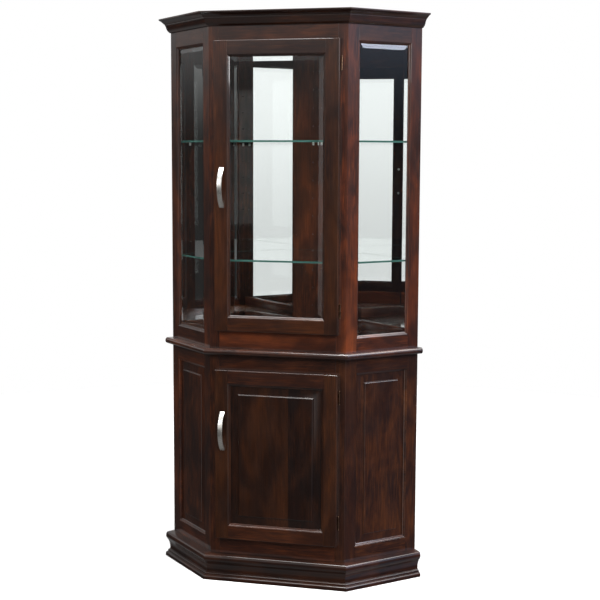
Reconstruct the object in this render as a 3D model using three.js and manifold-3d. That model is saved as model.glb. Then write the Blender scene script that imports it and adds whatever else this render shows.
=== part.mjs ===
// Corner curio cabinet: a mirrored, glazed display cabinet standing on a panelled base cupboard.
// Units are millimetres, +Z is up and the front faces -Y.
// The origin is on the floor, at the centre of the cabinet's overall footprint.
import * as THREE from 'three';
import { mergeVertices } from 'three/addons/utils/BufferGeometryUtils.js';
import Module from 'manifold-3d';

const wasm = await Module();
wasm.setup();

// Overall sizes
const HEIGHT = 1829;
const BASE_HEIGHT = 765;
const FRONT_WIDTH = 450;
const SIDE_WIDTH = 279;
const REAR_FLAT = 165;

// Thicknesses of the stock
const FRAME_THICKNESS = 19;
const BOARD_THICKNESS = 19;
const WAIST_THICKNESS = 20;
const BACK_THICKNESS = 6;
const REAR_THICKNESS = 12;
const MIRROR_THICKNESS = 4;
const SHELF_THICKNESS = 6;

// Widths of the frame members, to the outer edge of the moulded lip
const FRONT_STILE = 32;
const SIDE_STILE = 40;
const DOOR_MEMBER = 44;

// Moulded lip round every glazed or panelled opening, with the rebate or groove behind it
const LIP_WIDTH = 8;
const LIP_QUIRK = 1;
const LIP_ROUND = 4;
const LIP_FLAT = 1;
const LIP_DEPTH = 7;
const HOLD_DEPTH = 9;
const HOLD_INSET = 2;
const GROOVE_WIDTH = 6.6;
const DOOR_EDGE_ROUND = 3;

// Bevelled glass
const GLASS_THICKNESS = 5;
const GLASS_BEVEL_WIDTH = 20;
const GLASS_BEVEL_DEPTH = 2;

// Raised panels
const TONGUE_WIDTH = 8;
const TONGUE_THICKNESS = 6;
const PANEL_BEVEL_WIDTH = 28;
const PANEL_ROUND = 4.5;
const PANEL_FACE_DEPTH = 1.5;

// Crown, waist and base mouldings
const CROWN_HEIGHT = 43;
const CROWN_PROJECTION = 44;
const WAIST_PROJECTION = 29;
const WAIST_ROUND = 9;
const PLINTH_HEIGHT = 85;
const PLINTH_PROJECTION = 34;

// Margins of face frame left between the mouldings and the doors or side openings
const DOOR_REVEAL = 22;
const DOOR_OVERLAP = 10;
const UPPER_DOOR_SILL = 57;
const UPPER_DOOR_HEAD = 45;
const UPPER_SIDE_SILL = 43;
const UPPER_SIDE_HEAD = 49;
const BASE_DOOR_SILL = 53;
const BASE_DOOR_HEAD = 49;
const BASE_SIDE_SILL = 46;
const BASE_SIDE_HEAD = 48;

// Glass shelves stand on pins in rows of holes, counted from 0 at the lowest hole
const PIN_PITCH = 63.5;
const LOWEST_HOLE_ABOVE_FLOOR = 66.5;
const SHELF_ABOVE_HOLE = 2.5;
const PIN_HOLE_RADIUS = 2.5;
const PIN_HOLE_DEPTH = 9;
const PIN_ROW_FROM_OPENING = 16;
const PIN_ROW_FROM_MIDDLE = 10;
const LOWER_SHELF_HOLE = 3;
const UPPER_SHELF_HOLE = 9;
const SHELF_CLEARANCE = 2;
const SHELF_FRONT_SETBACK = 6;

// Wooden strip under each mirror
const MIRROR_SILL = 35;

// Arched pulls: screw centres, overall length, reach from the door and section
const PULL_CENTRES = 96;
const PULL_LENGTH = 128;
const PULL_REACH = 28;
const PULL_WIDTH = 15;
const PULL_THICKNESS = 4.5;
const PULL_POST_RADIUS = 4;
const PULL_EDGE_ROUND = 1;
const UPPER_PULL_HEIGHT = 1281;
const BASE_PULL_HEIGHT = 496;

// Butt hinges, whose leaves fold together in the space between the door and the face frame
const HINGE_LENGTH = 38;
const HINGE_END_DISTANCE = 75;
const BARREL_RADIUS = 2.5;
const PIN_RADIUS = 1.1;
const PIN_CLEARANCE = 0.3;
const TIP_RADIUS = 2.2;
const LEAF_THICKNESS = 0.8;
const FRAME_LEAF_WIDTH = 9;
const DOOR_LEAF_WIDTH = 18;

// Clearance between pieces that touch, and how far a cutter runs past what it cuts
const GAP = 0.3;
const OVERRUN = 5;

// Flat facets in a quarter of a rounded edge, and round a small cylinder
const ROUND_STEPS = 4;
const CYLINDER_STEPS = 16;
const HOLE_STEPS = 10;

// Plan: the sides leave the front at 45 degrees, and the backs leave the sides at 90 degrees
const DIAGONAL = Math.SQRT1_2;
const SIDE_RUN = SIDE_WIDTH * DIAGONAL;
const REAR_HALF_WIDTH = FRONT_WIDTH / 2 + SIDE_RUN;
const BACK_LINE = FRONT_WIDTH / 2 + 2 * SIDE_RUN;
const REAR_Y = BACK_LINE - REAR_FLAT / 2;
const BACK_WIDTH = (REAR_Y - SIDE_RUN) / DIAGONAL;
const FRONT_MITRE = Math.tan(Math.PI / 8);

// Levels
const CROWN_BOTTOM = HEIGHT - CROWN_HEIGHT;
const BODY_TOP = HEIGHT - BOARD_THICKNESS - GAP;
const UPPER_BOTTOM = BASE_HEIGHT + GAP;
const UPPER_FLOOR_TOP = UPPER_BOTTOM + BOARD_THICKNESS;
const WAIST_BOTTOM = BASE_HEIGHT - WAIST_THICKNESS;
const BASE_TOP = WAIST_BOTTOM - GAP;

const LOWEST_HOLE = UPPER_FLOOR_TOP + LOWEST_HOLE_ABOVE_FLOOR;
const HOLE_COUNT = 1 + Math.floor((CROWN_BOTTOM - UPPER_SIDE_HEAD - LOWEST_HOLE) / PIN_PITCH);

const DOOR_WIDTH = FRONT_WIDTH - 2 * DOOR_REVEAL;
const DOOR_STANDOFF = 2 * LEAF_THICKNESS + 3 * GAP;
const DOOR_FRONT_Y = -DOOR_STANDOFF - FRAME_THICKNESS;
const HINGE_OFFSET = BARREL_RADIUS + GAP;
const UPPER_DOOR_BOTTOM = BASE_HEIGHT + UPPER_DOOR_SILL;
const UPPER_DOOR_HEIGHT = CROWN_BOTTOM - UPPER_DOOR_HEAD - UPPER_DOOR_BOTTOM;
const BASE_DOOR_BOTTOM = PLINTH_HEIGHT + BASE_DOOR_SILL;
const BASE_DOOR_HEIGHT = WAIST_BOTTOM - BASE_DOOR_HEAD - BASE_DOOR_BOTTOM;
const BASE_FLOOR_TOP = BASE_DOOR_BOTTOM + DOOR_OVERLAP;

function lacqueredWood(color) {
  return new THREE.MeshStandardMaterial({ color, roughness: 0.3, metalness: 0 });
}

const WOOD = lacqueredWood(0x3a1a10);
const DOOR_WOOD = lacqueredWood(0x34160e);
const PANEL_WOOD = lacqueredWood(0x2c140d);
const MOULDING_WOOD = lacqueredWood(0x2e130c);
const BACK_WOOD = new THREE.MeshStandardMaterial({ color: 0x4a2416, roughness: 0.5, metalness: 0 });
const GLASS = new THREE.MeshStandardMaterial({
  color: 0xe4f2ee, roughness: 0.02, metalness: 0, transparent: true, opacity: 0.25,
});
const SHELF_GLASS = new THREE.MeshStandardMaterial({
  color: 0xa8d8cc, roughness: 0.02, metalness: 0, transparent: true, opacity: 0.4,
});
const MIRROR = new THREE.MeshStandardMaterial({ color: 0xf2f5f4, roughness: 0.02, metalness: 1 });
const NICKEL = new THREE.MeshStandardMaterial({ color: 0xb9b4ae, roughness: 0.3, metalness: 1 });
const BRONZE = new THREE.MeshStandardMaterial({ color: 0x2a211b, roughness: 0.4, metalness: 0.9 });

// ---- Solids and meshes ----

function toSolid(geometry) {
  const bare = geometry.clone();
  bare.deleteAttribute('normal');
  bare.deleteAttribute('uv');
  const welded = mergeVertices(bare);
  return new wasm.Manifold(new wasm.Mesh({
    numProp: 3,
    vertProperties: new Float32Array(welded.attributes.position.array),
    triVerts: new Uint32Array(welded.index.array),
  }));
}

function toGeometry(solid) {
  const mesh = solid.getMesh();
  const geometry = new THREE.BufferGeometry();
  geometry.setAttribute('position', new THREE.BufferAttribute(mesh.vertProperties, mesh.numProp));
  geometry.setIndex(new THREE.BufferAttribute(mesh.triVerts, 1));
  geometry.computeVertexNormals();
  return geometry;
}

function join(first, ...others) {
  return toGeometry(others.reduce((solid, other) => solid.add(toSolid(other)), toSolid(first)));
}

function cut(body, ...tools) {
  return toGeometry(tools.reduce((solid, tool) => solid.subtract(toSolid(tool)), toSolid(body)));
}

function common(first, second) {
  return toGeometry(toSolid(first).intersect(toSolid(second)));
}

// A box between two opposite corners.
function block(low, high) {
  const size = high.map((value, axis) => value - low[axis]);
  const middle = high.map((value, axis) => (value + low[axis]) / 2);
  return new THREE.BoxGeometry(...size).translate(...middle);
}

// A prism standing on an outline in the XY plane.
function prism(points, bottom, top) {
  const shape = new THREE.Shape(points);
  const geometry = new THREE.ExtrudeGeometry(shape, { depth: top - bottom, bevelEnabled: false });
  return geometry.translate(0, 0, bottom);
}

// A prism whose outline is drawn on the front face, in X and Z, and runs back in Y.
function facePrism(points, frontY, backY) {
  const outline = points.map(([x, z]) => new THREE.Vector2(x, z));
  return prism(outline, -backY, -frontY).rotateX(Math.PI / 2);
}

// The same shape on the other side of the cabinet.
function mirrored(geometry) {
  const copy = geometry.clone().scale(-1, 1, 1);
  const flat = copy.index ? copy.toNonIndexed() : copy;
  const position = flat.attributes.position;
  for (let first = 0; first < position.count; first += 3) {
    const second = new THREE.Vector3().fromBufferAttribute(position, first + 1);
    const third = new THREE.Vector3().fromBufferAttribute(position, first + 2);
    position.setXYZ(first + 1, ...third);
    position.setXYZ(first + 2, ...second);
  }
  flat.computeVertexNormals();
  return flat;
}

function addMesh(parent, name, geometry, material) {
  const mesh = new THREE.Mesh(geometry, material);
  mesh.name = name;
  parent.add(mesh);
  return mesh;
}

// ---- The plan of the cabinet and the groups that its faces are built in ----

// The body's outline, moved inwards by the given distances on each kind of side.
function plan({ front = 0, side = 0, back = 0, rear = 0 }) {
  const sideLine = FRONT_WIDTH / 2 - side / DIAGONAL;
  const backLine = BACK_LINE - back / DIAGONAL;
  const rearY = REAR_Y - rear;
  const rightHalf = [
    [sideLine + front, front],
    [(backLine + sideLine) / 2, (backLine - sideLine) / 2],
    [backLine - rearY, rearY],
  ];
  const leftHalf = rightHalf.map(([x, y]) => [-x, y]).reverse();
  return [...rightHalf, ...leftHalf].map(([x, y]) => new THREE.Vector2(x, y));
}

function faceGroup(parent, x, y, turn) {
  const group = new THREE.Group();
  group.position.set(x, y, 0);
  group.rotation.z = turn;
  parent.add(group);
  return group;
}

const cabinet = new THREE.Group();
const frontFace = faceGroup(cabinet, 0, 0, 0);
const rightSide = faceGroup(cabinet, FRONT_WIDTH / 2, 0, Math.PI / 4);
const leftSide = faceGroup(cabinet, -FRONT_WIDTH / 2, 0, -Math.PI / 4);
const rightBack = faceGroup(cabinet, REAR_HALF_WIDTH, SIDE_RUN, 3 * Math.PI / 4);
const leftBack = faceGroup(cabinet, -REAR_HALF_WIDTH, SIDE_RUN, -3 * Math.PI / 4);

// Adds a piece to the right-hand face and its mirror image to the left-hand one.
function addPair(rightParent, leftParent, nameOf, geometry, material) {
  addMesh(rightParent, nameOf('right'), geometry, material);
  addMesh(leftParent, nameOf('left'), mirrored(geometry), material);
}

// ---- Frames, panes and panels ----

// A rectangular plate whose edges all follow one profile, given as [inset, depth] from front to back.
function profiledPlate(width, height, edge) {
  const section = (size) => {
    const near = edge.map(([inset, depth]) => new THREE.Vector2(inset, depth));
    const far = edge.map(([inset, depth]) => new THREE.Vector2(size - inset, depth)).reverse();
    return [...near, ...far].reverse();
  };
  const acrossWidth = prism(section(width), 0, height);
  const acrossHeight = prism(section(height), 0, width).rotateY(-Math.PI / 2).translate(width, 0, 0);
  return common(acrossWidth, acrossHeight);
}

// A quarter of a circle that starts square to the front at [0, 0] and ends at [radius, radius].
function quarterRound(radius) {
  return Array.from({ length: ROUND_STEPS + 1 }, (_, step) => {
    const angle = (step / ROUND_STEPS) * (Math.PI / 2);
    return [radius * Math.sin(angle), radius * (1 - Math.cos(angle))];
  });
}

// What is cut away inside a frame, from its moulded lip to the rebate or groove behind.
function openingEdge(grooved) {
  const lip = [
    [0, -OVERRUN],
    ...quarterRound(LIP_ROUND).map(([inset, depth]) => [inset, depth + LIP_QUIRK]),
    [LIP_ROUND + LIP_FLAT, LIP_QUIRK + LIP_ROUND],
    [LIP_WIDTH, LIP_DEPTH],
    [LIP_WIDTH, HOLD_DEPTH],
    [HOLD_INSET, HOLD_DEPTH],
  ];
  const grooveBack = HOLD_DEPTH + GROOVE_WIDTH;
  const behind = grooved
    ? [[HOLD_INSET, grooveBack], [LIP_WIDTH, grooveBack], [LIP_WIDTH, FRAME_THICKNESS + OVERRUN]]
    : [[HOLD_INSET, FRAME_THICKNESS + OVERRUN]];
  return [...lip, ...behind];
}

// A frame standing on z = 0 with its front at y = 0, cut into its members where they meet.
// The stiles run the full height, and the lips meet in mitres.
function frameMembers({ width, height, stile, sill, head, grooved, edgeRound = 0 }) {
  const openWidth = width - 2 * stile;
  const openHeight = height - sill - head;
  const opening = profiledPlate(openWidth, openHeight, openingEdge(grooved)).translate(stile, 0, sill);
  const outerEdge = edgeRound > 0
    ? quarterRound(edgeRound).map(([inset, depth]) => [edgeRound - inset, depth])
    : [[0, 0]];
  const blank = profiledPlate(width, height, [...outerEdge, [0, FRAME_THICKNESS]]);
  const frame = cut(blank, opening);
  const mitre = openWidth / 2 - OVERRUN;
  const stileOutline = [
    [-OVERRUN, -OVERRUN],
    [stile, -OVERRUN],
    [stile, sill],
    [stile + mitre, sill + mitre],
    [stile + mitre, height - head - mitre],
    [stile, height - head],
    [stile, height + OVERRUN],
    [-OVERRUN, height + OVERRUN],
  ];
  const pick = (outline) => common(frame, facePrism(outline, -OVERRUN, FRAME_THICKNESS + OVERRUN));
  const leftStile = pick(stileOutline);
  const rightStile = pick(stileOutline.map(([x, z]) => [width - x, z]).reverse());
  const railOutline = (edge, direction, depth) => [
    [stile + GAP, edge - direction * OVERRUN],
    [width - stile - GAP, edge - direction * OVERRUN],
    [width - stile - GAP, edge + direction * depth],
    [width - stile - GAP - LIP_WIDTH - OVERRUN, edge + direction * (depth + LIP_WIDTH + OVERRUN)],
    [stile + GAP + LIP_WIDTH + OVERRUN, edge + direction * (depth + LIP_WIDTH + OVERRUN)],
    [stile + GAP, edge + direction * depth],
  ];
  const bottomRail = pick(railOutline(0, 1, sill));
  const topRail = pick(railOutline(height, -1, head).reverse());
  return { frame, leftStile, rightStile, bottomRail, topRail };
}

// The width or height of a pane or panel held in an opening of the given size.
function heldSize(openSize) {
  return openSize - 2 * (HOLD_INSET + GAP);
}

// The bevel's slope clears the back of the lip, so the pane's edge lies a little deeper.
function bevelledGlass(openWidth, openHeight) {
  const heldWidth = LIP_WIDTH - HOLD_INSET - GAP;
  const edgeDepth = HOLD_DEPTH + GAP + GLASS_BEVEL_DEPTH * heldWidth / GLASS_BEVEL_WIDTH;
  const faceDepth = edgeDepth - GLASS_BEVEL_DEPTH;
  return profiledPlate(heldSize(openWidth), heldSize(openHeight), [
    [GLASS_BEVEL_WIDTH, faceDepth],
    [0, edgeDepth],
    [0, faceDepth + GLASS_THICKNESS],
  ]);
}

function raisedPanel(openWidth, openHeight) {
  const tongueDepth = HOLD_DEPTH + GAP;
  const bevelInset = TONGUE_WIDTH + PANEL_BEVEL_WIDTH;
  const fieldEdge = quarterRound(PANEL_ROUND)
    .map(([inset, depth]) => [bevelInset - inset, PANEL_FACE_DEPTH + depth]);
  return profiledPlate(heldSize(openWidth), heldSize(openHeight), [
    ...fieldEdge,
    [TONGUE_WIDTH, tongueDepth],
    [0, tongueDepth],
    [0, tongueDepth + TONGUE_THICKNESS],
  ]);
}

// Moves a pane or panel from its own corner to its place in an opening.
function placeInOpening(geometry, openingX, openingZ) {
  return geometry.translate(openingX + HOLD_INSET + GAP, 0, openingZ + HOLD_INSET + GAP);
}

// ---- The two bodies: corner posts, rails, rear stiles, glass or panels, and backs ----

// The front half of a corner post, which meets the side frame's stile at 135 degrees.
function frontLeg(bottom, top) {
  const along = new THREE.Vector2(-DIAGONAL, DIAGONAL);
  const inwards = new THREE.Vector2(DIAGONAL, DIAGONAL);
  const at = (distance, depth) => along.clone().multiplyScalar(distance).addScaledVector(inwards, depth);
  const innerCorner = new THREE.Vector2(FRAME_THICKNESS * FRONT_MITRE, FRAME_THICKNESS);
  const outline = [
    new THREE.Vector2(0, 0),
    innerCorner,
    at(FRONT_STILE, FRAME_THICKNESS),
    at(FRONT_STILE, 0),
  ];
  return prism(outline, bottom, top);
}

function sideFrame(bottom, top, sill, head, grooved) {
  const members = frameMembers({
    width: SIDE_WIDTH, height: top - bottom, stile: SIDE_STILE, sill, head, grooved,
  });
  const rebate = block(
    [SIDE_WIDTH - BACK_THICKNESS - GAP, FRAME_THICKNESS / 2, -OVERRUN],
    [SIDE_WIDTH + OVERRUN, FRAME_THICKNESS + OVERRUN, top - bottom + OVERRUN],
  );
  const raise = (geometry) => geometry.clone().translate(0, 0, bottom);
  return {
    post: join(raise(members.leftStile), frontLeg(bottom, top)),
    rearStile: raise(cut(members.rightStile, rebate)),
    topRail: raise(members.topRail),
    bottomRail: raise(members.bottomRail),
    behindPost: () => {
      const clearOfPost = block(
        [SIDE_STILE + GAP, -OVERRUN, -OVERRUN],
        [SIDE_WIDTH + OVERRUN, FRAME_THICKNESS + OVERRUN, top - bottom + OVERRUN],
      );
      const postLip = members.leftStile.clone().translate(GAP, 0, 0);
      return raise(cut(common(members.frame, clearOfPost), rebate, postLip));
    },
  };
}

function addFrontRails(part, bottom, top, doorBottom, doorHeight) {
  const halfWidth = FRONT_WIDTH / 2 - FRONT_STILE - GAP;
  const rail = (low, high) => block([-halfWidth, 0, low], [halfWidth, FRAME_THICKNESS, high]);
  const openingBottom = doorBottom + DOOR_OVERLAP;
  const openingTop = doorBottom + doorHeight - DOOR_OVERLAP;
  addMesh(frontFace, `${part}_front_rail_bottom`, rail(bottom, openingBottom), WOOD);
  addMesh(frontFace, `${part}_front_rail_top`, rail(openingTop, top), WOOD);
}

// Cutters for an upright row of shelf-pin holes in a face at y = faceY.
// They sink to +Y where sink is 1, and to -Y where it is -1.
function pinRow(x, faceY, sink) {
  const length = PIN_HOLE_DEPTH + OVERRUN;
  return Array.from({ length: HOLE_COUNT }, (_, hole) => new THREE.CylinderGeometry(
    PIN_HOLE_RADIUS, PIN_HOLE_RADIUS, length, HOLE_STEPS,
  ).translate(x, faceY + sink * (PIN_HOLE_DEPTH - OVERRUN) / 2, LOWEST_HOLE + hole * PIN_PITCH));
}

// Adds the plywood back in the rebate of each rear stile.
// Returns the board that goes across the cut-off corner.
function addBacks(part, bottom, top) {
  const start = FRAME_THICKNESS / 2 + GAP;
  const side = block([start, 0, bottom], [BACK_WIDTH, BACK_THICKNESS, top]);
  addPair(rightBack, leftBack, (hand) => `${part}_back_${hand}`, side, BACK_WOOD);
  const inner = plan({ back: BACK_THICKNESS + GAP, rear: REAR_THICKNESS });
  const outer = plan({ back: BACK_THICKNESS + GAP });
  return prism([inner[2], outer[2], outer[3], inner[3]], bottom, top);
}

function addUpperBody() {
  const sill = BASE_HEIGHT + UPPER_SIDE_SILL - UPPER_BOTTOM;
  const head = BODY_TOP - (CROWN_BOTTOM - UPPER_SIDE_HEAD);
  const side = sideFrame(UPPER_BOTTOM, BODY_TOP, sill, head, false);
  const add = (piece, geometry, material) => {
    addPair(rightSide, leftSide, (hand) => `upper_${piece.replace('*', hand)}`, geometry, material);
  };
  const postRow = pinRow(SIDE_STILE - PIN_ROW_FROM_OPENING, FRAME_THICKNESS, -1);
  const rearRow = pinRow(SIDE_WIDTH - SIDE_STILE + PIN_ROW_FROM_OPENING, FRAME_THICKNESS, -1);
  add('post_*', cut(side.post, ...postRow), WOOD);
  add('*_rail_bottom', side.bottomRail, WOOD);
  add('*_rail_top', side.topRail, WOOD);
  add('*_rear_stile', cut(side.rearStile, ...rearRow), WOOD);
  const openWidth = SIDE_WIDTH - 2 * SIDE_STILE;
  const openHeight = BODY_TOP - UPPER_BOTTOM - sill - head;
  const pane = bevelledGlass(openWidth, openHeight);
  add('*_window_glass', placeInOpening(pane, SIDE_STILE, UPPER_BOTTOM + sill), GLASS);
  addFrontRails('upper', UPPER_BOTTOM, BODY_TOP, UPPER_DOOR_BOTTOM, UPPER_DOOR_HEIGHT);
  const rearBoard = addBacks('upper', UPPER_BOTTOM, BODY_TOP);
  const rearFace = REAR_Y - REAR_THICKNESS;
  const rearRows = [-1, 1].flatMap((hand) => pinRow(hand * PIN_ROW_FROM_MIDDLE, rearFace, 1));
  addMesh(cabinet, 'upper_back_centre', cut(rearBoard, ...rearRows), BACK_WOOD);
}

function addBaseBody() {
  const sill = PLINTH_HEIGHT + BASE_SIDE_SILL;
  const head = BASE_TOP - (WAIST_BOTTOM - BASE_SIDE_HEAD);
  const side = sideFrame(0, BASE_TOP, sill, head, true);
  const add = (piece, geometry, material) => {
    addPair(rightSide, leftSide, (hand) => `base_${piece.replace('*', hand)}`, geometry, material);
  };
  add('post_*', side.post, WOOD);
  add('*_side_frame', side.behindPost(), WOOD);
  const openWidth = SIDE_WIDTH - 2 * SIDE_STILE;
  const openHeight = BASE_TOP - sill - head;
  add('*_side_panel', placeInOpening(raisedPanel(openWidth, openHeight), SIDE_STILE, sill), PANEL_WOOD);
  addFrontRails('base', 0, BASE_TOP, BASE_DOOR_BOTTOM, BASE_DOOR_HEIGHT);
  addMesh(cabinet, 'base_back_centre', addBacks('base', 0, BASE_TOP), BACK_WOOD);
}

// ---- Boards, mirrors and shelves ----

function addBoards() {
  const insideFrames = plan({
    front: FRAME_THICKNESS + GAP,
    side: FRAME_THICKNESS + GAP,
    back: BACK_THICKNESS + GAP,
    rear: REAR_THICKNESS + GAP,
  });
  addMesh(cabinet, 'top_board', prism(plan({}), HEIGHT - BOARD_THICKNESS, HEIGHT), WOOD);
  addMesh(cabinet, 'upper_floor_board', prism(insideFrames, UPPER_BOTTOM, UPPER_FLOOR_TOP), WOOD);
  addMesh(cabinet, 'waist_board', waistBoard(), MOULDING_WOOD);
  const baseFloor = prism(insideFrames, BASE_FLOOR_TOP - BOARD_THICKNESS, BASE_FLOOR_TOP);
  addMesh(cabinet, 'base_floor_board', baseFloor, WOOD);
}

// The base's top board, with its front and sides rounded over and its back edges square.
function waistBoard() {
  const overhang = { front: -WAIST_PROJECTION, side: -WAIST_PROJECTION };
  const past = -2 * WAIST_ROUND;
  const outline = new THREE.Shape(plan({ ...overhang, back: past, rear: past }));
  const rounded = new THREE.ExtrudeGeometry(outline, {
    depth: WAIST_THICKNESS - 2 * WAIST_ROUND,
    bevelThickness: WAIST_ROUND,
    bevelSize: WAIST_ROUND,
    bevelOffset: -WAIST_ROUND,
    bevelSegments: ROUND_STEPS + 1,
  }).translate(0, 0, WAIST_BOTTOM + WAIST_ROUND);
  const limits = prism(
    plan({ front: -2 * WAIST_PROJECTION, side: -2 * WAIST_PROJECTION }),
    WAIST_BOTTOM - OVERRUN,
    BASE_HEIGHT + OVERRUN,
  );
  return common(rounded, limits);
}

function addMirrors() {
  const start = FRAME_THICKNESS + GAP;
  const near = BACK_THICKNESS + GAP;
  const end = BACK_WIDTH - REAR_THICKNESS / DIAGONAL - GAP / DIAGONAL + near;
  const mirror = block(
    [start, near, UPPER_FLOOR_TOP + MIRROR_SILL],
    [end, near + MIRROR_THICKNESS, BODY_TOP - GAP],
  );
  addPair(rightBack, leftBack, (hand) => `mirror_${hand}`, mirror, MIRROR);
}

function addShelves() {
  const outline = plan({
    front: FRAME_THICKNESS + SHELF_FRONT_SETBACK,
    side: FRAME_THICKNESS + SHELF_CLEARANCE,
    back: BACK_THICKNESS + GAP + MIRROR_THICKNESS + SHELF_CLEARANCE,
    rear: REAR_THICKNESS + SHELF_CLEARANCE,
  });
  for (const [name, hole] of Object.entries({ lower: LOWER_SHELF_HOLE, upper: UPPER_SHELF_HOLE })) {
    const bottom = LOWEST_HOLE + hole * PIN_PITCH + SHELF_ABOVE_HOLE;
    const shelf = prism(outline, bottom, bottom + SHELF_THICKNESS);
    addMesh(cabinet, `glass_shelf_${name}`, shelf, SHELF_GLASS);
  }
}

// ---- Crown and plinth mouldings ----

// Both profiles are outlines in (distance out from the face, height), from the foot upwards.
// The crown: a belly, a small step, and a sloping cove up to a square nose.
function crownProfile() {
  const step = CROWN_PROJECTION / 2;
  const shape = new THREE.Shape();
  shape.moveTo(GAP, 0);
  shape.lineTo(5, 0);
  shape.lineTo(6, 1.5);
  shape.quadraticCurveTo(14, 6, step - 5, 15);
  shape.quadraticCurveTo(step - 3, 22, step, 24);
  shape.lineTo(step, 26.5);
  shape.lineTo(step + 3, 27);
  shape.quadraticCurveTo(step + 10, 34, CROWN_PROJECTION - 2, 38);
  shape.lineTo(CROWN_PROJECTION, 39);
  shape.lineTo(CROWN_PROJECTION, CROWN_HEIGHT);
  shape.lineTo(GAP, CROWN_HEIGHT);
  return shape;
}

// The plinth: a square foot, a small bead, a tall cove, and a flat ledge with a round nose.
function plinthProfile() {
  const nose = PLINTH_PROJECTION - 2;
  const cove = PLINTH_PROJECTION - 16;
  const shape = new THREE.Shape();
  shape.moveTo(GAP, 0);
  shape.lineTo(PLINTH_PROJECTION, 0);
  shape.lineTo(PLINTH_PROJECTION, 8);
  shape.quadraticCurveTo(PLINTH_PROJECTION, 13, PLINTH_PROJECTION - 6, 14);
  shape.lineTo(cove + 7, 14.5);
  shape.lineTo(cove + 7, 18);
  shape.quadraticCurveTo(cove + 6, 21, cove + 2, 21.5);
  shape.lineTo(cove, 22.5);
  shape.quadraticCurveTo(cove - 4, 42, nose - 4, 60);
  shape.quadraticCurveTo(nose + 1, 65, nose, 72);
  shape.quadraticCurveTo(nose - 1, PLINTH_HEIGHT - 3, nose - 6, PLINTH_HEIGHT - 2);
  shape.lineTo(5, PLINTH_HEIGHT);
  shape.lineTo(GAP, PLINTH_HEIGHT);
  return shape;
}

// A length of moulding along +X, standing out of a face towards -Y from z = bottom.
// Each end is mitred at the cabinet's front corners or cut square at its back.
function moulding(profile, bottom, length, mitredStart, mitredEnd) {
  const geometry = new THREE.ExtrudeGeometry(profile, {
    depth: 1, bevelEnabled: false, curveSegments: ROUND_STEPS + 1,
  });
  const position = geometry.attributes.position;
  for (let index = 0; index < position.count; index += 1) {
    const out = position.getX(index);
    const up = position.getY(index);
    const start = mitredStart ? GAP / 2 - out * FRONT_MITRE : 0;
    const end = mitredEnd ? length - GAP / 2 + out * FRONT_MITRE : length;
    const along = position.getZ(index) > 0 ? start : end;
    position.setXYZ(index, along, -out, bottom + up);
  }
  geometry.computeVertexNormals();
  return geometry;
}

function addMoulding(name, profile, bottom) {
  const front = moulding(profile, bottom, FRONT_WIDTH, true, true);
  addMesh(frontFace, `${name}_front`, front.translate(-FRONT_WIDTH / 2, 0, 0), MOULDING_WOOD);
  const side = moulding(profile, bottom, SIDE_WIDTH, true, false);
  addPair(rightSide, leftSide, (hand) => `${name}_${hand}`, side, MOULDING_WOOD);
}

// ---- Doors with their pulls and hinges ----

function archedPull() {
  const half = PULL_LENGTH / 2;
  const outerRadius = (half * half + PULL_REACH * PULL_REACH) / (2 * PULL_REACH);
  const halfAngle = Math.asin(half / outerRadius);
  const centreY = outerRadius - PULL_REACH;
  const innerRadius = outerRadius - PULL_THICKNESS;
  const strap = new THREE.Shape();
  strap.absarc(0, 0, outerRadius, Math.PI / 2 - halfAngle, Math.PI / 2 + halfAngle, false);
  strap.absarc(0, 0, innerRadius, Math.PI / 2 + halfAngle, Math.PI / 2 - halfAngle, true);
  const geometry = new THREE.ExtrudeGeometry(strap, {
    depth: PULL_WIDTH - 2 * PULL_EDGE_ROUND,
    bevelThickness: PULL_EDGE_ROUND,
    bevelSize: PULL_EDGE_ROUND,
    bevelOffset: -PULL_EDGE_ROUND,
    bevelSegments: 2,
    curveSegments: CYLINDER_STEPS,
  });
  // The arc is drawn in XY with its crown at +Y.
  // The turns put its length along Z, its crown at -Y and its width along X.
  geometry.translate(0, -centreY, -PULL_WIDTH / 2 + PULL_EDGE_ROUND);
  geometry.rotateY(Math.PI / 2).rotateZ(Math.PI);
  const behindStrap = innerRadius * Math.cos(Math.asin(PULL_CENTRES / 2 / innerRadius)) - centreY;
  const postLength = behindStrap + PULL_THICKNESS / 2;
  const posts = [-1, 1].map((end) => new THREE.CylinderGeometry(
    PULL_POST_RADIUS, PULL_POST_RADIUS, postLength, CYLINDER_STEPS,
  ).translate(0, -postLength / 2 - GAP, end * PULL_CENTRES / 2));
  const doorSide = block([-PULL_WIDTH, -2 * PULL_REACH, -PULL_LENGTH], [PULL_WIDTH, -GAP, PULL_LENGTH]);
  return common(join(geometry, ...posts), doorSide);
}

function hingeCylinder(radius, low, high) {
  return new THREE.CylinderGeometry(radius, radius, high - low, CYLINDER_STEPS)
    .rotateX(Math.PI / 2)
    .translate(0, 0, (low + high) / 2);
}

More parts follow.
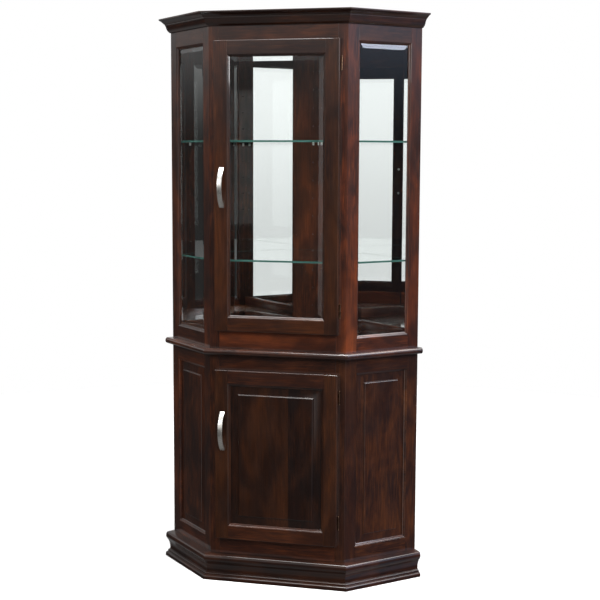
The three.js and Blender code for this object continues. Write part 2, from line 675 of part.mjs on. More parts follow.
// Both leaves are drawn round the hinge's axis, with the door to -X and the frame's face at +Y.
// The frame's leaf carries the middle knuckle, the pin and its ball tips.
function frameLeaf() {
  const half = HINGE_LENGTH / 2;
  const knuckle = HINGE_LENGTH / 6 - PIN_CLEARANCE;
  const backY = HINGE_OFFSET - GAP;
  const frontY = backY - LEAF_THICKNESS;
  const plateEnd = -BARREL_RADIUS - PIN_CLEARANCE;
  const plate = block([-HINGE_OFFSET - FRAME_LEAF_WIDTH, frontY, -half], [plateEnd, backY, half]);
  const tab = block([plateEnd - LEAF_THICKNESS, frontY, -knuckle], [0, backY, knuckle]);
  const tips = [-1, 1].map((end) => {
    const ball = new THREE.SphereGeometry(TIP_RADIUS, CYLINDER_STEPS, CYLINDER_STEPS / 2);
    return ball.rotateX(Math.PI / 2).translate(0, 0, end * (half + TIP_RADIUS));
  });
  const pin = hingeCylinder(PIN_RADIUS, -half - TIP_RADIUS, half + TIP_RADIUS);
  return join(plate, tab, hingeCylinder(BARREL_RADIUS, -knuckle, knuckle), pin, ...tips);
}

// The door's leaf carries the two end knuckles, bored for the pin.
function doorLeaf() {
  const half = HINGE_LENGTH / 2;
  const knuckle = HINGE_LENGTH / 6;
  const frontY = HINGE_OFFSET - DOOR_STANDOFF + GAP;
  const backY = frontY + LEAF_THICKNESS;
  const plateEnd = -BARREL_RADIUS - PIN_CLEARANCE;
  const plate = block([-HINGE_OFFSET - DOOR_LEAF_WIDTH, frontY, -half], [plateEnd, backY, half]);
  const ends = [[-half, -knuckle], [knuckle, half]];
  const barrels = ends.map(([low, high]) => hingeCylinder(BARREL_RADIUS, low, high));
  const webEnd = plateEnd - LEAF_THICKNESS;
  const webs = ends.map(([low, high]) => block([webEnd, frontY, low], [0, backY, high]));
  const bore = hingeCylinder(PIN_RADIUS + PIN_CLEARANCE, -half - OVERRUN, half + OVERRUN);
  return cut(join(plate, ...barrels, ...webs), bore);
}

function addHinges(part, doorBottom, doorHeight) {
  const axisX = DOOR_WIDTH / 2 + HINGE_OFFSET;
  const heights = {
    bottom: doorBottom + HINGE_END_DISTANCE,
    top: doorBottom + doorHeight - HINGE_END_DISTANCE,
  };
  for (const [place, height] of Object.entries(heights)) {
    const leaves = { frame: frameLeaf(), door: doorLeaf() };
    for (const [side, geometry] of Object.entries(leaves)) {
      const leaf = addMesh(frontFace, `${part}_hinge_${place}_${side}_leaf`, geometry, BRONZE);
      leaf.position.set(axisX, -HINGE_OFFSET, height);
    }
  }
}

function addDoor(part, bottom, height, grooved, pullHeight) {
  const door = new THREE.Group();
  door.position.set(-DOOR_WIDTH / 2, DOOR_FRONT_Y, bottom);
  frontFace.add(door);
  const members = frameMembers({
    width: DOOR_WIDTH,
    height,
    stile: DOOR_MEMBER,
    sill: DOOR_MEMBER,
    head: DOOR_MEMBER,
    grooved,
    edgeRound: DOOR_EDGE_ROUND,
  });
  addMesh(door, `${part}_door_stile_latch`, members.leftStile, DOOR_WOOD);
  addMesh(door, `${part}_door_stile_hinge`, members.rightStile, DOOR_WOOD);
  addMesh(door, `${part}_door_rail_bottom`, members.bottomRail, DOOR_WOOD);
  addMesh(door, `${part}_door_rail_top`, members.topRail, DOOR_WOOD);
  const open = [DOOR_WIDTH - 2 * DOOR_MEMBER, height - 2 * DOOR_MEMBER];
  const filling = grooved ? raisedPanel(...open) : bevelledGlass(...open);
  placeInOpening(filling, DOOR_MEMBER, DOOR_MEMBER);
  addMesh(door, `${part}_door_${grooved ? 'panel' : 'glass'}`, filling, grooved ? PANEL_WOOD : GLASS);
  const pull = addMesh(door, `${part}_door_pull`, archedPull(), NICKEL);
  pull.position.set((DOOR_MEMBER + LIP_WIDTH) / 2, 0, pullHeight - bottom);
  addHinges(part, bottom, height);
}

addUpperBody();
addBaseBody();
addBoards();
addMirrors();
addShelves();
addMoulding('crown', crownProfile(), CROWN_BOTTOM);
addMoulding('plinth', plinthProfile(), 0);
addDoor('upper', UPPER_DOOR_BOTTOM, UPPER_DOOR_HEIGHT, false, UPPER_PULL_HEIGHT);
addDoor('base', BASE_DOOR_BOTTOM, BASE_DOOR_HEIGHT, true, BASE_PULL_HEIGHT);

// Stand the cabinet with the middle of its overall depth on the origin.
cabinet.updateMatrixWorld(true);
const footprint = new THREE.Box3().setFromObject(cabinet, true);
cabinet.position.y = -(footprint.min.y + footprint.max.y) / 2;

export default cabinet;
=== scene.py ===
"""Corner curio cabinet: the looks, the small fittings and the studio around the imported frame.

Metres, +Z up. The front of the cabinet faces -Y and +X is to its right.
"""

import math

import bmesh
import bpy
from mathutils import Matrix, Vector


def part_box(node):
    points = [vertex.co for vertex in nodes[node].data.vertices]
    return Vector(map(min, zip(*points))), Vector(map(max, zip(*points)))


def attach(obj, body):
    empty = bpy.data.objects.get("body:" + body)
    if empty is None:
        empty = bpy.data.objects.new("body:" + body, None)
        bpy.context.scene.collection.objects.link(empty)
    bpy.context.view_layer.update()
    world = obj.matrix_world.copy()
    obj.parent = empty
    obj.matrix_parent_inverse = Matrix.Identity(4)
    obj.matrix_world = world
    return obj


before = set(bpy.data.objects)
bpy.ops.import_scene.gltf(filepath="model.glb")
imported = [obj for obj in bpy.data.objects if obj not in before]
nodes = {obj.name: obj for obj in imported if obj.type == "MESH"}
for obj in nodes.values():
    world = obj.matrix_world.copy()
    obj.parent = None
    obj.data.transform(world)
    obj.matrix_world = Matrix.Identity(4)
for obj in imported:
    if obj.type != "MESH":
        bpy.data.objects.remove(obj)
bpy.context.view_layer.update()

# Plan of the cabinet
FRONT_HALF_WIDTH = 0.225
SIDE_WIDTH = 0.279
BACK_WIDTH = 0.4805
SIDE_STILE = 0.040
BOARD = 0.019
REAR_BOARD = 0.012
BACK_BOARD = 0.006

# Camera
CAMERA_PLACE = (1.0460, -4.0987, 1.3844)
CAMERA_YAW = 14.134
CAMERA_PITCH = 6.54
CAMERA_ROLL = 0.229
CAMERA_LENS = 75.85

# Rows of holes and the pins that hold the shelves
PIN_ROW_ON_SIDE = 0.255
PIN_ROW_ON_POST = 0.024
PIN_ROW_ON_REAR = 0.010
PIN_SHANK_RADIUS = 0.0024
PIN_REACH = 0.008
SHELF_ABOVE_HOLE = 0.0025

# Small pieces keep this much off what they touch
CLEARANCE = 0.0003

# Strips that the mirrors stand on
SILL_DEPTH = 0.010
SILL_ROUND = 0.003
SILL_ARC_STEPS = 4
SILL_EDGE_BEVEL = 0.0004
SILL_OFF_FLOOR = 0.0001
SILL_OFF_REAR = 0.0005

# A pull's screws stand this far in from the ends of the pull
SCREW_FROM_PULL_END = 0.016

# Outlines of the turned pieces: (distance along the axis, radius)
PIN_PROFILE = (
    (-0.004, 0), (-0.004, PIN_SHANK_RADIUS), (0, PIN_SHANK_RADIUS), (0, 0.0036), (0.0012, 0.0036),
    (0.0014, PIN_SHANK_RADIUS), (PIN_REACH - 0.0012, PIN_SHANK_RADIUS), (PIN_REACH - 0.0004, 0.0018),
    (PIN_REACH, 0.0009), (PIN_REACH, 0),
)
SCREW_PROFILE = (
    (0, 0), (0, 0.0045), (0.0006, 0.0046), (0.0014, 0.0040), (0.0022, 0.0026), (0.0026, 0.0011), (0.0026, 0),
)

GRAIN_UPRIGHT = "upright"
GRAIN_LEVEL = "level"
GRAIN_FRAMED = "framed"

# Wood: where the second board of a glued-up panel was sawn, and a glue line beyond any board's edge
SECOND_BOARD_CUT = (0.9, 0.3, 1.7)
ONE_BOARD = 10.0
DOOR_PANEL_GLUE_LINE = 0.042

# Rounding of the CAD nodes' edges
WOOD_EDGE = 0.0007
PULL_EDGE = 0.0006
HINGE_EDGE = 0.0002
SHARP_ANGLE = math.radians(32)
WELD_DISTANCE = 0.00002

# Stained cherry at a tone of 1, from the deepest stain to the brightest figure
STAIN_DARK = (0.0110, 0.0038, 0.0027)
STAIN_MIDDLE = (0.0450, 0.0117, 0.0043)
STAIN_LIGHT = (0.1500, 0.0410, 0.0095)
SECOND_BOARD_TINT = (0.004, 0.0016, 0.0012, 1)
SECOND_BOARD_DARKENING = 0.10
RINGS_ACROSS_FIELD = 95.0

# Studio
FLOOR_RADIUS = 3.4
FLOOR_DROP = 0.0005
SENSOR_WIDTH = 36

# Metals: dark colour, light colour, roughness, brush lines to the metre along X, Y and Z
SATIN_NICKEL = ((0.50, 0.48, 0.45, 1), (0.66, 0.64, 0.60, 1), 0.30, (900, 900, 20))
BRIGHT_NICKEL = ((0.80, 0.79, 0.77, 1), (0.92, 0.91, 0.89, 1), 0.42, (400, 400, 400))
DARK_BRONZE = ((0.10, 0.058, 0.036, 1), (0.17, 0.10, 0.065, 1), 0.30, (90, 90, 90))

# Share of the glossy coat on the show wood, and on the boards that are left bare
VARNISHED = 0.85
BARE = 0.0
SHEEN_UNDER_COAT = 0.14
BARE_BOARDS = ("top_board", "upper_back_right", "upper_back_left", "base_back_right", "base_back_left")


# ---------------------------------------------------------------- places on the cabinet


def front_plane():
    """The Y of the face frame's front."""
    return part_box("upper_front_rail_top")[0].y


def side_frame(hand):
    """A side's own frame: X along the side to the rear, Y into the cabinet, Z up.

    hand is 1 for the right side and -1 for the left.
    """
    corner = Vector((hand * FRONT_HALF_WIDTH, front_plane(), 0))
    along = Vector((hand, 1, 0)).normalized()
    inward = Vector((-hand, 1, 0)).normalized()
    return corner, along, inward


def back_frame(hand):
    """A back's own frame: X from the rear stile to the rear board, Y into the cabinet, Z up."""
    corner, along, inward = side_frame(hand)
    return corner + along * SIDE_WIDTH, inward, -along


# ---------------------------------------------------------------- node trees


def new_tree(name):
    """An empty material and its node tree."""
    material = bpy.data.materials.new(name)
    material.use_nodes = True
    material.node_tree.nodes.clear()
    return material, material.node_tree


def add(tree, kind, inputs=None, **settings):
    """Adds a node. inputs maps a socket's name or number to a value or to another node's output."""
    made = tree.nodes.new(kind)
    for key, value in settings.items():
        setattr(made, key, value)
    for socket, value in (inputs or {}).items():
        if isinstance(value, bpy.types.NodeSocket):
            tree.links.new(value, made.inputs[socket])
        else:
            made.inputs[socket].default_value = value
    return made


def math_node(tree, operation, first, second=0.0):
    return add(tree, "ShaderNodeMath", {0: first, 1: second}, operation=operation).outputs[0]


def remap(tree, value, low, high, to_low=0.0, to_high=1.0):
    """Smoothly maps value from low..high to to_low..to_high."""
    inputs = {"Value": value, "From Min": low, "From Max": high, "To Min": to_low, "To Max": to_high}
    return add(tree, "ShaderNodeMapRange", inputs, interpolation_type="SMOOTHSTEP").outputs["Result"]


def noise(tree, place, scales, detail=2.0, roughness=0.5, distortion=0.0):
    """Noise whose grain has scales cells to the metre along each axis of place."""
    stretched = add(tree, "ShaderNodeVectorMath", {0: place, 1: scales}, operation="MULTIPLY").outputs[0]
    inputs = {
        "Vector": stretched,
        "Scale": 1.0,
        "Detail": detail,
        "Roughness": roughness,
        "Distortion": distortion,
    }
    return add(tree, "ShaderNodeTexNoise", inputs).outputs["Fac"]


def mix_colour(tree, share, first, second):
    return add(tree, "ShaderNodeMix", {0: share, 6: first, 7: second}, data_type="RGBA").outputs[2]


def mix_number(tree, share, first, second):
    return add(tree, "ShaderNodeMix", {0: share, 2: first, 3: second}).outputs[0]


def mix_vector(tree, share, first, second):
    return add(tree, "ShaderNodeMix", {0: share, 4: first, 5: second}, data_type="VECTOR").outputs[1]


def finish_surface(tree, shader):
    add(tree, "ShaderNodeOutputMaterial", {"Surface": shader})


# ---------------------------------------------------------------- materials


def board_place(tree, turn, grain, glue_line):
    """Coordinates on a board: X and Y across the grain, Z along it.

    turn is the face's angle about Z. A framed grain is level in the rails and upright in the rear stile.
    glue_line is the X where a second board starts. Also returns the share of that second board.
    """
    place = add(tree, "ShaderNodeTexCoord").outputs["Object"]
    turned = add(tree, "ShaderNodeMapping", {"Vector": place, "Rotation": (0, 0, -turn)}).outputs["Vector"]
    parts = add(tree, "ShaderNodeSeparateXYZ", {0: turned})
    x, y, z = parts.outputs[0], parts.outputs[1], parts.outputs[2]
    upright = add(tree, "ShaderNodeCombineXYZ", {0: x, 1: y, 2: z}).outputs[0]
    level = add(tree, "ShaderNodeCombineXYZ", {0: z, 1: y, 2: x}).outputs[0]
    second_board = math_node(tree, "GREATER_THAN", x, glue_line)
    if grain == GRAIN_UPRIGHT:
        return upright, second_board
    if grain == GRAIN_LEVEL:
        return level, second_board
    corner, along, _ = side_frame(1)
    stile = (corner + along * (SIDE_WIDTH - SIDE_STILE)).dot(along)
    in_stile = math_node(tree, "GREATER_THAN", math_node(tree, "ABSOLUTE", x), stile)
    return mix_vector(tree, in_stile, level, upright), second_board


def grain_place(tree, turn, grain, cut, glue_line):
    """Coordinates in the tree that the board was sawn from. cut is where it was sawn."""
    place, second_board = board_place(tree, turn, grain, glue_line)
    shift = add(tree, "ShaderNodeVectorMath", {0: SECOND_BOARD_CUT, "Scale": second_board}, operation="SCALE")
    place = add(tree, "ShaderNodeVectorMath", {0: place, 1: shift.outputs[0]}, operation="ADD").outputs[0]
    place = add(tree, "ShaderNodeVectorMath", {0: place, 1: cut}, operation="ADD").outputs[0]
    return place, second_board


def toned(colour, tone, warmth=1.0):
    """A stain made lighter or darker by tone, and redder by warmth."""
    red, green, blue = colour
    return (red * tone * warmth, green * tone, blue * tone, 1)


def wood_colour(tree, place, tone, warmth):
    """Stained cherry: blotches of stain, soft clouds, growth-ring figure, fine fibres and short pores."""
    clouds = noise(tree, place, (17, 17, 8), detail=4, roughness=0.6, distortion=0.8)
    boards = noise(tree, place, (7, 7, 0.7), detail=1)
    field = noise(tree, place, (9, 9, 1.1), detail=2, distortion=0.25)
    rings = math_node(tree, "SINE", math_node(tree, "MULTIPLY", field, RINGS_ACROSS_FIELD))
    ring_figure = remap(tree, rings, -1.0, 1.0, 0.0, 0.22)
    fibres = noise(tree, place, (620, 620, 9), detail=2)
    pores = remap(tree, noise(tree, place, (1500, 1500, 55), detail=1), 0.60, 0.74)

    dark = toned(STAIN_DARK, tone)
    middle = toned(STAIN_MIDDLE, tone, warmth)
    light = toned(STAIN_LIGHT, tone, warmth)
    base = mix_colour(tree, remap(tree, clouds, 0.32, 0.68), dark, middle)
    flame = remap(tree, noise(tree, place, (260, 260, 14), detail=3, distortion=0.5), 0.44, 0.76, 0.0, 0.32)
    base = mix_colour(tree, flame, base, light)
    flame = remap(tree, boards, 0.44, 0.72, 0.0, 0.40)
    base = mix_colour(tree, flame, base, light)
    base = mix_colour(tree, ring_figure, base, dark)
    stain = noise(tree, place, (9, 9, 5), detail=2, roughness=0.45, distortion=0.5)
    base = mix_colour(tree, remap(tree, stain, 0.44, 0.64, 0.0, 0.64), base, dark)
    fibre_dark = remap(tree, fibres, 0.30, 0.62, 0.28, 0.0)
    base = mix_colour(tree, fibre_dark, base, dark)
    return mix_colour(tree, math_node(tree, "MULTIPLY", pores, 0.55), base, dark), fibres, pores


def wood(name, turn=0.0, grain=GRAIN_UPRIGHT, cut=(0.0, 0.0, 0.0), tone=1.0, warmth=1.0,
         glue_line=ONE_BOARD, varnish=VARNISHED):
    """Cherry in a dark stain.

    cut is where the board was sawn from the tree, tone its lightness and warmth its redness. A second board
    starts at glue_line. varnish is the share of the glossy coat.
    """
    material, tree = new_tree(name)
    place, second_board = grain_place(tree, turn, grain, cut, glue_line)
    colour, fibres, pores = wood_colour(tree, place, tone, warmth)
    darker = math_node(tree, "MULTIPLY", second_board, SECOND_BOARD_DARKENING)
    colour = mix_colour(tree, darker, colour, SECOND_BOARD_TINT)
    wave = noise(tree, place, (45, 45, 12), detail=1)
    height = math_node(tree, "MULTIPLY", fibres, 0.35)
    height = math_node(tree, "SUBTRACT", height, math_node(tree, "MULTIPLY", pores, 0.6))
    height = math_node(tree, "ADD", height, math_node(tree, "MULTIPLY", wave, 1.6))
    bump = add(tree, "ShaderNodeBump", {"Height": height, "Strength": 0.35, "Distance": 0.00025}).outputs[0]
    inputs = {
        "Base Color": colour,
        "Roughness": remap(tree, wave, 0.25, 0.75, 0.34, 0.46),
        "Normal": bump,
        "Specular IOR Level": SHEEN_UNDER_COAT * varnish,
        "Coat Weight": varnish,
        "Coat Roughness": 0.06,
    }
    finish_surface(tree, add(tree, "ShaderNodeBsdfPrincipled", inputs).outputs[0])
    return material


def clear_to_lamps(tree, surface, tint):
    """Lets light from lamps straight through a glass surface."""
    path = add(tree, "ShaderNodeLightPath")
    share = math_node(tree, "MAXIMUM", path.outputs["Is Shadow Ray"], path.outputs["Is Diffuse Ray"])
    clear = add(tree, "ShaderNodeBsdfTransparent", {"Color": tint}).outputs[0]
    return add(tree, "ShaderNodeMixShader", {0: share, 1: surface, 2: clear}).outputs[0]


def pane_glass(name):
    """Clear bevelled pane with a trace of dust in its polish."""
    material, tree = new_tree(name)
    place = add(tree, "ShaderNodeTexCoord").outputs["Object"]
    haze = remap(tree, noise(tree, place, (14, 14, 9), detail=4), 0.45, 0.8, 0.0, 0.02)
    inputs = {
        "Base Color": (0.985, 1.0, 0.992, 1),
        "Roughness": haze,
        "IOR": 1.51,
        "Transmission Weight": 1.0,
    }
    glass = add(tree, "ShaderNodeBsdfPrincipled", inputs).outputs[0]
    finish_surface(tree, clear_to_lamps(tree, glass, (0.93, 0.95, 0.94, 1)))
    return material


def shelf_glass(name):
    """Float glass: clear through its faces, sea green in its polished edges, with a painted glow in lighter
    streaks along them.
    """
    material, tree = new_tree(name)
    place = add(tree, "ShaderNodeTexCoord").outputs["Object"]
    facing = add(tree, "ShaderNodeSeparateXYZ", {0: add(tree, "ShaderNodeNewGeometry").outputs["Normal"]})
    edge = remap(tree, math_node(tree, "ABSOLUTE", facing.outputs[2]), 0.75, 0.35)
    painted_glow_streaks = noise(tree, place, (30, 30, 900), detail=2)
    face_inputs = {
        "Base Color": (0.94, 0.99, 0.965, 1),
        "Roughness": remap(tree, noise(tree, place, (22, 22, 22), detail=4), 0.45, 0.8, 0.0, 0.03),
        "IOR": 1.51,
        "Transmission Weight": 1.0,
    }
    face = add(tree, "ShaderNodeBsdfPrincipled", face_inputs).outputs[0]
    # the dark green is the edge's own colour; the lighter green in streaks is a painted glow of light inside
    # the glass
    edge_green_and_painted_glow = mix_colour(tree, painted_glow_streaks, (0.012, 0.070, 0.058, 1), (0.12, 0.27, 0.235, 1))
    edge_inputs = {
        "Base Color": edge_green_and_painted_glow,
        "Roughness": 0.12,
        "IOR": 1.51,
        "Transmission Weight": 0.35,
    }
    polished = add(tree, "ShaderNodeBsdfPrincipled", edge_inputs).outputs[0]
    both = add(tree, "ShaderNodeMixShader", {0: edge, 1: face, 2: polished}).outputs[0]
    finish_surface(tree, clear_to_lamps(tree, both, (0.90, 0.95, 0.93, 1)))
    return material


def mirror(name):
    """Silvered mirror with faint smears in its polish."""
    material, tree = new_tree(name)
    place = add(tree, "ShaderNodeTexCoord").outputs["Object"]
    smears = noise(tree, place, (9, 9, 3), detail=5, roughness=0.6, distortion=0.6)
    inputs = {
        "Base Color": mix_colour(tree, smears, (0.91, 0.925, 0.925, 1), (0.94, 0.95, 0.95, 1)),
        "Metallic": 1.0,
        "Roughness": remap(tree, smears, 0.5, 0.8, 0.0, 0.03),
    }
    finish_surface(tree, add(tree, "ShaderNodeBsdfPrincipled", inputs).outputs[0])
    return material


def brushed_metal(name, dark, light, rough, scales):
    """Metal with fine brush lines. scales sets which way they run."""
    material, tree = new_tree(name)
    place = add(tree, "ShaderNodeTexCoord").outputs["Object"]
    lines = noise(tree, place, scales, detail=3, roughness=0.6)
    patches = noise(tree, place, (60, 60, 60), detail=2)
    bump = add(tree, "ShaderNodeBump", {"Height": lines, "Strength": 0.25, "Distance": 0.00005}).outputs[0]
    inputs = {
        "Base Color": mix_colour(tree, patches, dark, light),
        "Metallic": 1.0,
        "Roughness": remap(tree, lines, 0.3, 0.7, rough - 0.06, rough + 0.06),
        "Normal": bump,
    }
    finish_surface(tree, add(tree, "ShaderNodeBsdfPrincipled", inputs).outputs[0])
    return material


def floor_paint(name):
    """Matt white studio floor."""
    material, tree = new_tree(name)
    place = add(tree, "ShaderNodeTexCoord").outputs["Object"]
    speckle = noise(tree, place, (40, 40, 40), detail=3)
    inputs = {
        "Base Color": mix_colour(tree, speckle, (0.86, 0.86, 0.86, 1), (0.90, 0.90, 0.90, 1)),
        "Roughness": 0.9,
        "Specular IOR Level": 0.1,
    }
    finish_surface(tree, add(tree, "ShaderNodeBsdfPrincipled", inputs).outputs[0])
    return material


# ---------------------------------------------------------------- looks of the CAD nodes


def set_material(thing, material):
    thing.data.materials.clear()
    thing.data.materials.append(material)


def soften(thing, width, segments=2):
    """Rounds a node's edges and gives it smooth shading."""
    for polygon in thing.data.polygons:
        polygon.use_smooth = True
    weld = thing.modifiers.new("weld", "WELD")
    weld.merge_threshold = WELD_DISTANCE
    bevel = thing.modifiers.new("bevel", "BEVEL")
    bevel.width = width
    bevel.segments = segments
    bevel.limit_method = "ANGLE"
    bevel.angle_limit = SHARP_ANGLE
    bevel.use_clamp_overlap = True
    normals = thing.modifiers.new("normals", "WEIGHTED_NORMAL")
    normals.keep_sharp = False


def turn_of(name):
    """The angle about Z of the face that a node lies in."""
    if "back_centre" in name:
        return 0.0
    if "_back_right" in name or "_back_left" in name:
        return math.radians(-45 if "right" in name else 45)
    if "right" in name:
        return math.radians(45)
    if "left" in name:
        return math.radians(-45)
    return 0.0


def is_level(name):
    """True for boards whose grain runs level."""
    return any(word in name for word in ("rail", "crown", "plinth", "board"))


# (tone, warmth) of the boards that are lighter or darker than the rest. Part of this is the boards' own stain
# and part is painted light and shade: boards on the right are lighter as painted light from that side, and
# less red as a painted grey sheen; the crown, plinth and base door are darker as painted shade
TONES_AND_PAINTED_LIGHT = {
    "upper_front_rail_bottom": (1.30, 1.20),
    "upper_front_rail_top": (1.15, 1.00),
    "base_front_rail_bottom": (1.20, 1.10),
    "upper_post_right": (1.75, 1.20),
    "upper_post_left": (1.30, 1.05),
    "upper_right_rail_bottom": (1.75, 1.15),
    "upper_right_rail_top": (1.20, 0.90),
    "upper_right_rear_stile": (1.35, 1.20),
    "upper_left_rear_stile": (1.20, 1.05),
    "upper_back_centre": (1.60, 1.15),
    "upper_door_stile_latch": (0.66, 0.95),
    "upper_door_stile_hinge": (0.60, 0.90),
    "upper_door_rail_top": (0.75, 0.90),
    "upper_door_rail_bottom": (0.75, 0.95),
    "base_door_panel": (0.42, 0.95),
    "base_left_side_frame": (1.10, 1.10),
    "base_right_side_panel": (1.20, 0.88),
    "base_right_side_frame": (1.30, 0.90),
    "base_post_right": (1.20, 0.90),
    "base_door_stile_latch": (0.60, 0.90),
    "base_door_stile_hinge": (0.75, 0.90),
    "plinth_front": (0.45, 1.00),
    "plinth_right": (0.85, 1.00),
    "plinth_left": (0.60, 1.00),
    "crown_front": (0.60, 1.00),
    "crown_right": (0.75, 1.00),
    "crown_left": (0.75, 1.00),
}


def grain_of(name):
    if name.endswith("side_frame"):
        return GRAIN_FRAMED
    return GRAIN_LEVEL if is_level(name) else GRAIN_UPRIGHT


def dress_wood():
    """Gives every wooden node a cut of its own."""
    wooden = [
        name for name in sorted(nodes)
        if not any(word in name for word in ("glass", "mirror", "pull", "leaf"))
    ]
    for index, name in enumerate(wooden):
        # tone and warmth carry each board's own stain and also painted light, sheen and shade
        tone, warmth = TONES_AND_PAINTED_LIGHT.get(name, (1.0, 1.0))
        cut = (0.37 * index, 1.13 * index, 0.71 * index)
        glue_line = DOOR_PANEL_GLUE_LINE if name == "base_door_panel" else ONE_BOARD
        varnish = BARE if name in BARE_BOARDS else VARNISHED
        dressed = wood(name + "_wood", turn_of(name), grain_of(name), cut, tone, warmth, glue_line, varnish)
        set_material(nodes[name], dressed)
        soften(nodes[name], WOOD_EDGE)


def dress_fittings():
    """Glass, mirrors, pulls and hinges. Returns the pulls' nickel."""
    clear = pane_glass("pane_glass")
    shelves = shelf_glass("shelf_glass")
    silver = mirror("mirror_silver")
    nickel = brushed_metal("satin_nickel", *SATIN_NICKEL)
    bronze = brushed_metal("dark_bronze", *DARK_BRONZE)
    for name, thing in nodes.items():
        if name.startswith("glass_shelf"):
            set_material(thing, shelves)
        elif name.endswith("glass"):
            set_material(thing, clear)
        elif name.startswith("mirror"):
            set_material(thing, silver)
        elif name.endswith("pull"):
            set_material(thing, nickel)
            soften(thing, PULL_EDGE)
        elif name.endswith("leaf"):
            set_material(thing, bronze)
            soften(thing, HINGE_EDGE)
    return nickel


# ---------------------------------------------------------------- small pieces


def new_piece(name, build, sizes, material, body):
    """Makes a piece with build(bm, *sizes) and lets it ride on a body."""
    mesh = bpy.data.meshes.new(name)
    bm = bmesh.new()
    build(bm, *sizes)
    bmesh.ops.recalc_face_normals(bm, faces=bm.faces)
    bm.to_mesh(mesh)
    bm.free()
    thing = bpy.data.objects.new(name, mesh)
    bpy.context.scene.collection.objects.link(thing)
    thing.data.materials.append(material)
    for polygon in mesh.polygons:
        polygon.use_smooth = True
    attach(thing, body)
    return thing


def turned(bm, profile, place, direction, steps=20):
    """A turned solid. profile holds (distance along direction, radius), from end to end on the axis."""
    rotation = Vector((0, 0, 1)).rotation_difference(direction).to_matrix().to_4x4()
    matrix = Matrix.Translation(place) @ rotation
    rings = []
    for along, radius in profile:
        if radius == 0:
            rings.append([bm.verts.new(matrix @ Vector((0, 0, along)))])
            continue
        ring = []
        for step in range(steps):
            angle = 2 * math.pi * step / steps
            point = Vector((radius * math.cos(angle), radius * math.sin(angle), along))
            ring.append(bm.verts.new(matrix @ point))
        rings.append(ring)
    for lower, upper in zip(rings, rings[1:]):
        for step in range(steps):
            after = (step + 1) % steps
            if len(lower) == 1:
                bm.faces.new((lower[0], upper[after], upper[step]))
            elif len(upper) == 1:
                bm.faces.new((lower[step], lower[after], upper[0]))
            else:
                bm.faces.new((lower[step], lower[after], upper[after], upper[step]))


def swept(bm, profile, start, end, across):
    """A straight moulding: profile holds (across, up) points, swept from start to end."""
    ends = []
    for place in (start, end):
        ends.append([bm.verts.new(place + across * out + Vector((0, 0, up))) for out, up in profile])
    count = len(profile)
    for index in range(count):
        after = (index + 1) % count
        bm.faces.new((ends[0][index], ends[0][after], ends[1][after], ends[1][index]))
    bm.faces.new(ends[0])
    bm.faces.new(list(reversed(ends[1])))


def add_mirror_sills():
    """The wooden strips that the mirrors stand on, with a rounded top edge."""
    for hand, side in ((1, "right"), (-1, "left")):
        corner, along, inward = back_frame(hand)
        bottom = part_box("upper_floor_board")[1].z + SILL_OFF_FLOOR
        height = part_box(f"mirror_{side}")[0].z - CLEARANCE - bottom
        face = corner + inward * (BACK_BOARD + CLEARANCE)
        start = face + along * (BOARD + CLEARANCE)
        end = face + along * (BACK_WIDTH - REAR_BOARD * math.sqrt(2) - SILL_OFF_REAR)
        start.z = end.z = bottom
        arc = []
        for step in range(SILL_ARC_STEPS + 1):
            angle = math.pi / 2 * step / SILL_ARC_STEPS
            out = SILL_DEPTH - SILL_ROUND + SILL_ROUND * math.cos(angle)
            arc.append((out, height - SILL_ROUND + SILL_ROUND * math.sin(angle)))
        profile = [(0, 0), (SILL_DEPTH, 0)] + arc + [(0, height)]
        name = f"mirror_sill_{side}"
        material = wood(name + "_wood", turn_of(f"_back_{side}"), GRAIN_LEVEL, (2.1, 0.4, hand), 1.1, 1.1)
        piece = new_piece(name, swept, (profile, start, end, inward), material,
                          "cabinet_body")
        bevel = piece.modifiers.new("bevel", "BEVEL")
        bevel.width = SILL_EDGE_BEVEL
        bevel.limit_method = "ANGLE"


def pin_places():
    """(name, point on the wood, direction out of it) of each row of holes, at floor level."""
    rows = []
    for hand, side in ((1, "right"), (-1, "left")):
        corner, along, inward = side_frame(hand)
        rows.append((f"{side}_rear", corner + along * PIN_ROW_ON_SIDE + inward * BOARD, inward))
        rows.append((f"{side}_front", corner + along * PIN_ROW_ON_POST + inward * BOARD, inward))
        rear = Vector((hand * PIN_ROW_ON_REAR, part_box("upper_back_centre")[0].y, 0))
        rows.append((f"{side}_middle", rear, Vector((0, -1, 0))))
    return rows


def add_shelf_pins(metal):
    """A nickel pin with a collar and a rounded end under each shelf, in every row of holes."""
    for shelf in ("lower", "upper"):
        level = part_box(f"glass_shelf_{shelf}")[0].z - SHELF_ABOVE_HOLE
        for row, place, outward in pin_places():
            point = Vector((place.x, place.y, level))
            new_piece(f"shelf_pin_{shelf}_{row}", turned, (PIN_PROFILE, point, outward), metal,
                      "cabinet_body")


def add_pull_screws(metal):
    """The heads of the pulls' screws, on the inside of each latch stile."""
    for door in ("upper", "base"):
        low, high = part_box(f"{door}_door_pull")
        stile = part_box(f"{door}_door_stile_latch")[1].y
        levels = {"bottom": low.z + SCREW_FROM_PULL_END, "top": high.z - SCREW_FROM_PULL_END}
        for end, level in levels.items():
            point = Vector(((low.x + high.x) / 2, stile, level))
            new_piece(f"{door}_pull_screw_{end}", turned, (SCREW_PROFILE, point, Vector((0, 1, 0))), metal,
                      f"{door}_door")


# ---------------------------------------------------------------- studio


def aimed_light(name, place, target, size, energy, colour=(1, 1, 1)):
    """A soft rectangular lamp that faces target and isn't seen through glass."""
    lamp = bpy.data.lights.new(name, "AREA")
    lamp.shape = "RECTANGLE"
    lamp.size, lamp.size_y = size
    lamp.energy = energy
    lamp.color = colour
    thing = bpy.data.objects.new(name, lamp)
    bpy.context.scene.collection.objects.link(thing)
    direction = Vector(target) - Vector(place)
    thing.matrix_world = Matrix.Translation(place) @ direction.to_track_quat("-Z", "Y").to_matrix().to_4x4()
    thing.visible_transmission = False
    return thing


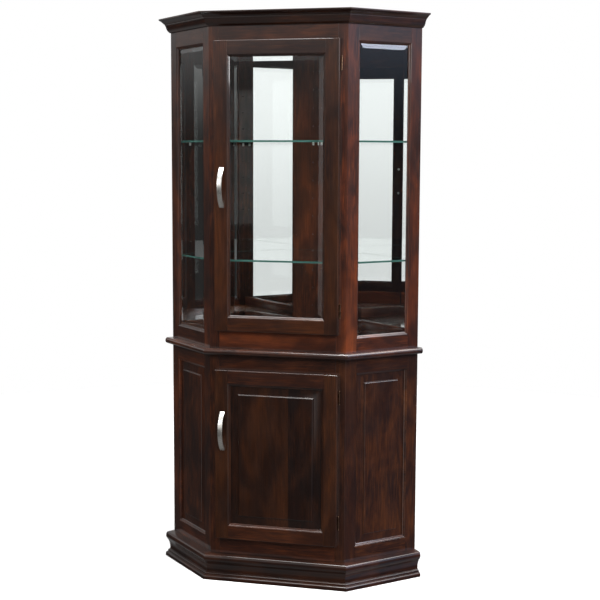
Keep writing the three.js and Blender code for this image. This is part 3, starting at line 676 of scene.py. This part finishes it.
def build_lights():
    """A bright strip overhead, a large panel that only shows as highlights, and three soft lamps in front."""
    middle = (0, 0, 1.0)
    aimed_light("overhead", (0.2, -0.7, 3.4), (0, 0, 0.9), (1.5, 0.7), 120)
    glint = aimed_light("overhead_glint", (1.1, -0.2, 3.6), (1.1, -0.2, 0.0), (4.6, 3.4), 420)
    glint.visible_diffuse = False
    aimed_light("right_front", (3.2, -2.6, 2.6), middle, (1.2, 1.6), 92)
    aimed_light("left_front", (-2.4, -3.6, 2.9), middle, (1.4, 1.2), 62)
    aimed_light("cool_right", (4.2, -1.1, 3.3), middle, (1.6, 1.2), 70, (0.80, 0.84, 1.0))


def build_world():
    """A dim studio: a white wall behind the camera, haze above the horizon and a pale floor.

    The camera itself sees plain white. The haze is cool to the right in the varnish's reflections, is dimmer
    through glass, and fades overhead for everything but matt surfaces.
    """
    world = bpy.data.worlds.new("studio")
    bpy.context.scene.world = world
    world.use_nodes = True
    tree = world.node_tree
    tree.nodes.clear()
    path = add(tree, "ShaderNodeLightPath").outputs
    reflected = math_node(tree, "SUBTRACT", path["Is Glossy Ray"], path["Is Transmission Ray"])
    direction = add(tree, "ShaderNodeTexCoord").outputs["Generated"]
    parts = add(tree, "ShaderNodeSeparateXYZ", {0: direction})
    rightness, height = parts.outputs[0], parts.outputs[2]

    to_wall = Vector((CAMERA_PLACE[0], CAMERA_PLACE[1], 0)).normalized()
    toward = add(tree, "ShaderNodeVectorMath", {0: direction, 1: to_wall}, operation="DOT_PRODUCT")
    nearness = toward.outputs["Value"]
    wall_level = remap(tree, height, -0.08, 0.06, 0.90, 1.22)
    wall = math_node(tree, "MULTIPLY", remap(tree, nearness, 0.925, 0.962), wall_level)

    fade = mix_number(tree, path["Is Glossy Ray"], 1.0, remap(tree, height, 0.22, 0.42, 1.0, 0.35))
    through_glass = mix_number(tree, path["Is Transmission Ray"], 1.0, 0.45)
    haze = math_node(tree, "MULTIPLY", remap(tree, height, 0.0, 0.20, 0.040, 1.00), fade)
    haze = math_node(tree, "MULTIPLY", haze, through_glass)
    ground = remap(tree, height, -0.25, -0.55, 0.0, 0.25)
    bright = math_node(tree, "MAXIMUM", math_node(tree, "MAXIMUM", wall, haze), ground)

    cool_share = math_node(tree, "MULTIPLY", remap(tree, rightness, 0.4, 0.9), reflected)
    cool = mix_colour(tree, cool_share, (1, 1, 1, 1), (1.15, 1.45, 2.0, 1))
    colour = mix_colour(tree, path["Is Camera Ray"], cool, (1, 1, 1, 1))
    level = mix_number(tree, path["Is Camera Ray"], bright, 1.0)
    background = add(tree, "ShaderNodeBackground", {"Color": colour, "Strength": level}).outputs[0]
    add(tree, "ShaderNodeOutputWorld", {"Surface": background})


def build_floor():
    """A round floor, so that no straight edge shows in the mirrors."""
    mesh = bpy.data.meshes.new("floor")
    bm = bmesh.new()
    bmesh.ops.create_circle(bm, cap_ends=True, segments=96, radius=FLOOR_RADIUS)
    bm.to_mesh(mesh)
    bm.free()
    floor = bpy.data.objects.new("floor", mesh)
    floor.location.z = -FLOOR_DROP
    floor.visible_glossy = False
    floor.visible_diffuse = False
    bpy.context.scene.collection.objects.link(floor)
    floor.data.materials.append(floor_paint("floor_paint"))


def build_camera():
    data = bpy.data.cameras.new("camera")
    data.lens = CAMERA_LENS
    data.sensor_width = SENSOR_WIDTH
    camera = bpy.data.objects.new("camera", data)
    bpy.context.scene.collection.objects.link(camera)
    yaw = Matrix.Rotation(math.radians(CAMERA_YAW), 4, "Z")
    tilt = Matrix.Rotation(math.radians(90 - CAMERA_PITCH), 4, "X")
    roll = Matrix.Rotation(math.radians(CAMERA_ROLL), 4, "Z")
    camera.matrix_world = Matrix.Translation(CAMERA_PLACE) @ yaw @ tilt @ roll
    bpy.context.scene.camera = camera


def build():
    bpy.context.scene.view_settings.view_transform = "Standard"
    dress_wood()
    nickel = dress_fittings()
    bright_nickel = brushed_metal("bright_nickel", *BRIGHT_NICKEL)
    add_mirror_sills()
    add_shelf_pins(bright_nickel)
    add_pull_screws(nickel)
    build_world()
    build_lights()
    build_floor()
    build_camera()
    bpy.context.view_layer.update()
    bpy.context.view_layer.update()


build()
